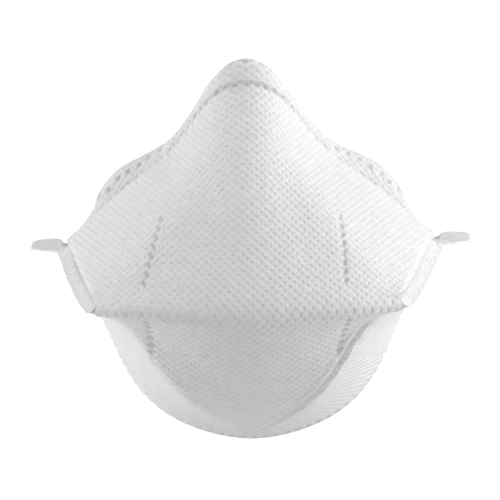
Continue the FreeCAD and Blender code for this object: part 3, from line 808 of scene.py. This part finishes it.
def welded_cloth():
    """Pressed laminate: glassier than loose cloth, with transverse ribs and scattered weld specks."""
    nodes = Nodes("welded_cloth")
    cloth = nodes.uv()
    y = nodes.split(cloth)[1]
    wander = nodes.math("MULTIPLY", nodes.math("SUBTRACT", nodes.noise(cloth, 0.5, 2.0), 0.5), 1.2)
    along = nodes.math("ADD", y, wander)
    ribs = nodes.math("SINE", nodes.math("MULTIPLY", along, 2.0 * math.pi / RIB_PITCH))
    specks = nodes.ramp(nodes.noise(nodes.stretched(cloth, (1.0, 0.8, 1.0)), 1.2, 2.0, 0.6), 0.52, 0.66)
    fibre = nodes.noise(nodes.stretched(cloth, (1.2, 4.5, 1.0), 0.2), 1.0, 3.0, 0.6, 0.5)
    height = nodes.sum(nodes.math("MULTIPLY", ribs, 0.1), nodes.math("MULTIPLY", specks, -0.14),
                       nodes.math("MULTIPLY", fibre, 0.16))
    colour = nodes.mix(specks, (0.88, 0.865, 0.87), (0.78, 0.765, 0.77))
    # the rib crests are painted lighter than the troughs: painted highlight on the ribs
    colour = nodes.mix(nodes.ramp(ribs, -1.0, 1.0, 0.0, 0.35), colour, (0.91, 0.9, 0.905))
    rough = nodes.ramp(specks, 0.0, 1.0, 0.7, 0.45)
    return nodes.finish(colour, height, rough, 0.35)


def webbing():
    """Knitted elastic: cords along the strap, with a fine stitch across each of them."""
    nodes = Nodes("strap_elastic")
    cloth = nodes.uv()
    x, y = nodes.split(cloth)
    cords = nodes.math("COSINE", nodes.math("MULTIPLY", x, 2.0 * math.pi / CORD_PITCH))
    slant = nodes.math("ADD", y, nodes.math("MULTIPLY", nodes.math("ABSOLUTE", x), 0.35))
    stitch = nodes.math("SINE", nodes.math("MULTIPLY", slant, 2.0 * math.pi / 0.7))
    fuzz = nodes.noise(cloth, 4.0, 3.0, 0.65)
    height = nodes.sum(nodes.math("MULTIPLY", cords, 0.1), nodes.math("MULTIPLY", stitch, 0.05),
                       nodes.math("MULTIPLY", fuzz, 0.12))
    # the grooves between the cords and stitches are painted darker and their tops lighter: painted shade and
    # painted highlight
    shade = nodes.ramp(nodes.sum(cords, nodes.math("MULTIPLY", stitch, 0.5)), -1.4, 0.6)
    colour = nodes.mix(shade, (0.62, 0.62, 0.61), (0.84, 0.84, 0.83))
    wear_and_dent_shade = nodes.ramp(nodes.noise(cloth, 0.7, 2.0), 0.4, 0.65, 0.0, 0.4)
    colour = nodes.mix(wear_and_dent_shade, colour, (0.78, 0.78, 0.765))
    return nodes.finish(colour, height, 0.75, 0.3)


def foam():
    """Open-cell foam: small pits of two sizes."""
    nodes = Nodes("foam")
    place = nodes.place()
    cells = nodes.tree.nodes.new("ShaderNodeTexVoronoi")
    nodes.put(cells.inputs["Vector"], place)
    cells.inputs["Scale"].default_value = 1500.0
    pits = nodes.ramp(cells.outputs["Distance"], 0.15, 0.5, 1.0, 0.0)
    coarse = nodes.ramp(nodes.noise(place, 420.0, 3.0, 0.7), 0.55, 0.7)
    height = nodes.sum(nodes.math("MULTIPLY", pits, -0.12), nodes.math("MULTIPLY", coarse, -0.2))
    # the pits of both sizes are painted darker than the foam round them: painted shade in the cells
    colour = nodes.mix(pits, (0.58, 0.585, 0.6), (0.4, 0.41, 0.43))
    colour = nodes.mix(coarse, colour, (0.34, 0.35, 0.37))
    return nodes.finish(colour, height, 0.9, 0.15)


def clip_metal():
    """Annealed aluminium strip with rolling marks along it and small scratches."""
    nodes = Nodes("clip_metal")
    place = nodes.place()
    marks = nodes.noise(nodes.stretched(place, (60.0, 900.0, 900.0)), 1.0, 3.0, 0.6)
    stains = nodes.noise(place, 160.0, 3.0, 0.6)
    colour = nodes.mix(nodes.ramp(stains, 0.35, 0.7), (0.72, 0.72, 0.74), (0.84, 0.84, 0.85))
    rough = nodes.ramp(marks, 0.3, 0.7, 0.3, 0.5)
    material = nodes.finish(colour, nodes.math("MULTIPLY", marks, 0.03), rough, 0.5)
    nodes.shader.inputs["Metallic"].default_value = 1.0
    return material


# ---- the mask ------------------------------------------------------------------------------
def dress(obj, material, slot, body, *replaced):
    obj.data.materials.clear()
    obj.data.materials.append(material)
    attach(obj, body)
    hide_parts(*replaced)


def cloth_layers():
    starts = {"liner": 0.0, "filter": LINER + LAYER_GAP}
    starts["wadding"] = starts["filter"] + FILTER + LAYER_GAP
    made = [          # sheet; material's name, colour, dent depth and fibre depth; slot and node
        (cover(), ("cover_cloth", (0.815, 0.798, 0.804), 0.22, 0.16), "cover_cloth", "outer_cover"),
        (layer("wadding_sheet", starts["wadding"] + WADDING / 2.0, *HIDDEN_GRID),
         ("wadding", (0.84, 0.84, 0.84), 0.02, 0.4), "wadding", "wadding_layer"),
        (layer("filter_sheet", starts["filter"], *HIDDEN_GRID),
         ("filter_cloth", (0.86, 0.86, 0.86), 0.01, 0.1), "filter_cloth", "filter_layer"),
        (layer("liner_cloth", starts["liner"], *LINER_GRID),
         ("liner_cloth", (0.815, 0.803, 0.807), 0.16, 0.14), "liner_cloth", "inner_liner"),
    ]
    for obj, looks, slot, node in made:
        dress(obj, nonwoven(*looks), slot, "facepiece", node)
        FLAT.size()
        FLAT.area()


def margins_and_tabs():
    material = welded_cloth()
    for side, name in ((1, "right"), (-1, "left")):
        dress(side_margin(side), material, "welded_cloth", "facepiece", f"{name}_side_seam")
        dress(strap_tab(side), material, "welded_cloth", "facepiece", f"{name}_strap_tab")


def straps():
    material = webbing()
    for strap, sag in (("upper", UPPER_SAG), ("lower", LOWER_SAG)):
        halves = []
        for side, name in ((1, "right"), (-1, "left")):
            half = strap_half(strap, sag, side)
            half.data.materials.append(material)
            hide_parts(f"{strap}_strap_end_{name}")
            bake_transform(half)
            halves.append(half)
        for half in halves:
            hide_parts(f"{strap}_strap")


def nose_parts():
    strip = nose_foam()
    dress(strip, foam(), "foam", "facepiece", "nose_foam")
    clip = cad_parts["nose_clip"]
    clip.data.materials.clear()
    clip.data.materials.append(clip_metal())


cloth_layers()
margins_and_tabs()
nose_parts()
straps()


# ---- studio --------------------------------------------------------------------------------
LIGHTS = [                # name, degrees round from the front to the right, degrees up, size, power
    ("key", 90, 10, 0.6, 5.8), ("key_front", 65, 20, 0.6, 2.8), ("key_high", 60, 50, 0.6, 3.2),
    ("fill", -90, 10, 0.7, 8.0), ("fill_low", -50, -25, 0.6, 4.5),
    ("top", 0, 85, 0.8, 2.6),
]
LIGHT_DISTANCE, ROOM_LIGHT = 1.1, 0.25
FLOOR_LEVEL, FLOOR_HALF = -0.25, 6.0
FLOOR_TONE, FLOOR_WHITE = 0.77, 0.84    # what the floor reflects, and the white the camera adds


def area_light(name, side, up, size, power):
    light = bpy.data.lights.new(name, "AREA")
    light.shape, light.size, light.energy = "SQUARE", size, power
    obj = bpy.data.objects.new(name, light)
    bpy.context.scene.collection.objects.link(obj)
    side, up = math.radians(side), math.radians(up)
    away = Vector((math.sin(side) * math.cos(up), -math.cos(side) * math.cos(up), math.sin(up)))
    obj.location = Vector((0.0, -0.03, 0.0)) + away * LIGHT_DISTANCE
    obj.rotation_euler = away.to_track_quat("Z", "Y").to_euler()


def seen_white(tree, plain, output, share):
    """Adds white to what the camera, gloss and glass see of a shader, and nothing to its light."""
    nodes, links = tree.nodes, tree.links
    rays = nodes.new("ShaderNodeLightPath")
    seen = rays.outputs["Is Camera Ray"]
    for kind in ("Is Glossy Ray", "Is Transmission Ray"):
        most = nodes.new("ShaderNodeMath")
        most.operation = "MAXIMUM"
        links.new(seen, most.inputs[0])
        links.new(rays.outputs[kind], most.inputs[1])
        seen = most.outputs[0]
    white = nodes.new("ShaderNodeEmission" if share < 1.0 else "ShaderNodeBackground")
    white.inputs[0].default_value = (1.0, 1.0, 1.0, 1.0)
    white.inputs[1].default_value = share
    seen_part = white.outputs[0]
    if share < 1.0:
        both = nodes.new("ShaderNodeAddShader")
        links.new(plain, both.inputs[0])
        links.new(white.outputs[0], both.inputs[1])
        seen_part = both.outputs[0]
    mix = nodes.new("ShaderNodeMixShader")
    links.new(seen, mix.inputs[0])
    links.new(plain, mix.inputs[1])
    links.new(seen_part, mix.inputs[2])
    links.new(mix.outputs[0], output)


def floor():
    mesh = bpy.data.meshes.new("floor")
    corners = ((-1, -1), (1, -1), (1, 1), (-1, 1))
    points = [(x * FLOOR_HALF, y * FLOOR_HALF, FLOOR_LEVEL) for x, y in corners]
    mesh.from_pydata(points, [], [(0, 1, 2, 3)])
    obj = bpy.data.objects.new("floor", mesh)
    bpy.context.scene.collection.objects.link(obj)
    material = bpy.data.materials.new("floor")
    material.use_nodes = True
    tree = material.node_tree
    shader = tree.nodes["Principled BSDF"]
    shader.inputs["Base Color"].default_value = (FLOOR_TONE, FLOOR_TONE, FLOOR_TONE, 1.0)
    shader.inputs["Roughness"].default_value = 0.9
    shader.inputs["Specular IOR Level"].default_value = 0.0
    seen_white(tree, shader.outputs[0], tree.nodes["Material Output"].inputs[0], FLOOR_WHITE)
    mesh.materials.append(material)


def studio():
    for light in LIGHTS:
        area_light(*light)
    world = bpy.data.worlds.new("studio")
    bpy.context.scene.world = world
    world.use_nodes = True
    tree = world.node_tree
    room = tree.nodes["Background"]
    room.inputs[0].default_value = (1.0, 0.975, 0.982, 1.0)
    room.inputs[1].default_value = ROOM_LIGHT
    seen_white(tree, room.outputs[0], tree.nodes["World Output"].inputs[0], 1.0)
    floor()


CAMERA_DISTANCE, CAMERA_UP, CAMERA_SIDE, CAMERA_ROLL = 1.6, 10.0, 1.2, -1.24
PICTURE_WIDTH = 0.1932    # how much of the plane through the origin the picture's width shows
PICTURE_CENTRE = (-0.0002, -0.0024)


def camera():
    data = bpy.data.cameras.new("camera")
    obj = bpy.data.objects.new("camera", data)
    bpy.context.scene.collection.objects.link(obj)
    up, side = math.radians(CAMERA_UP), math.radians(CAMERA_SIDE)
    back = Vector((math.sin(side) * math.cos(up), -math.cos(side) * math.cos(up), math.sin(up)))
    roll = Matrix.Rotation(math.radians(CAMERA_ROLL), 3, "Z").to_quaternion()
    obj.rotation_mode = "QUATERNION"
    obj.rotation_quaternion = (-back).to_track_quat("-Z", "Y") @ roll
    obj.location = back * CAMERA_DISTANCE
    data.sensor_width = 36.0
    data.lens = 36.0 * CAMERA_DISTANCE / PICTURE_WIDTH
    data.shift_x = PICTURE_CENTRE[0] / PICTURE_WIDTH
    data.shift_y = PICTURE_CENTRE[1] / PICTURE_WIDTH
    data.clip_start, data.clip_end = 0.1, 20.0
    bpy.context.scene.camera = obj


studio()
camera()
bpy.context.scene.view_settings.view_transform = "Standard"
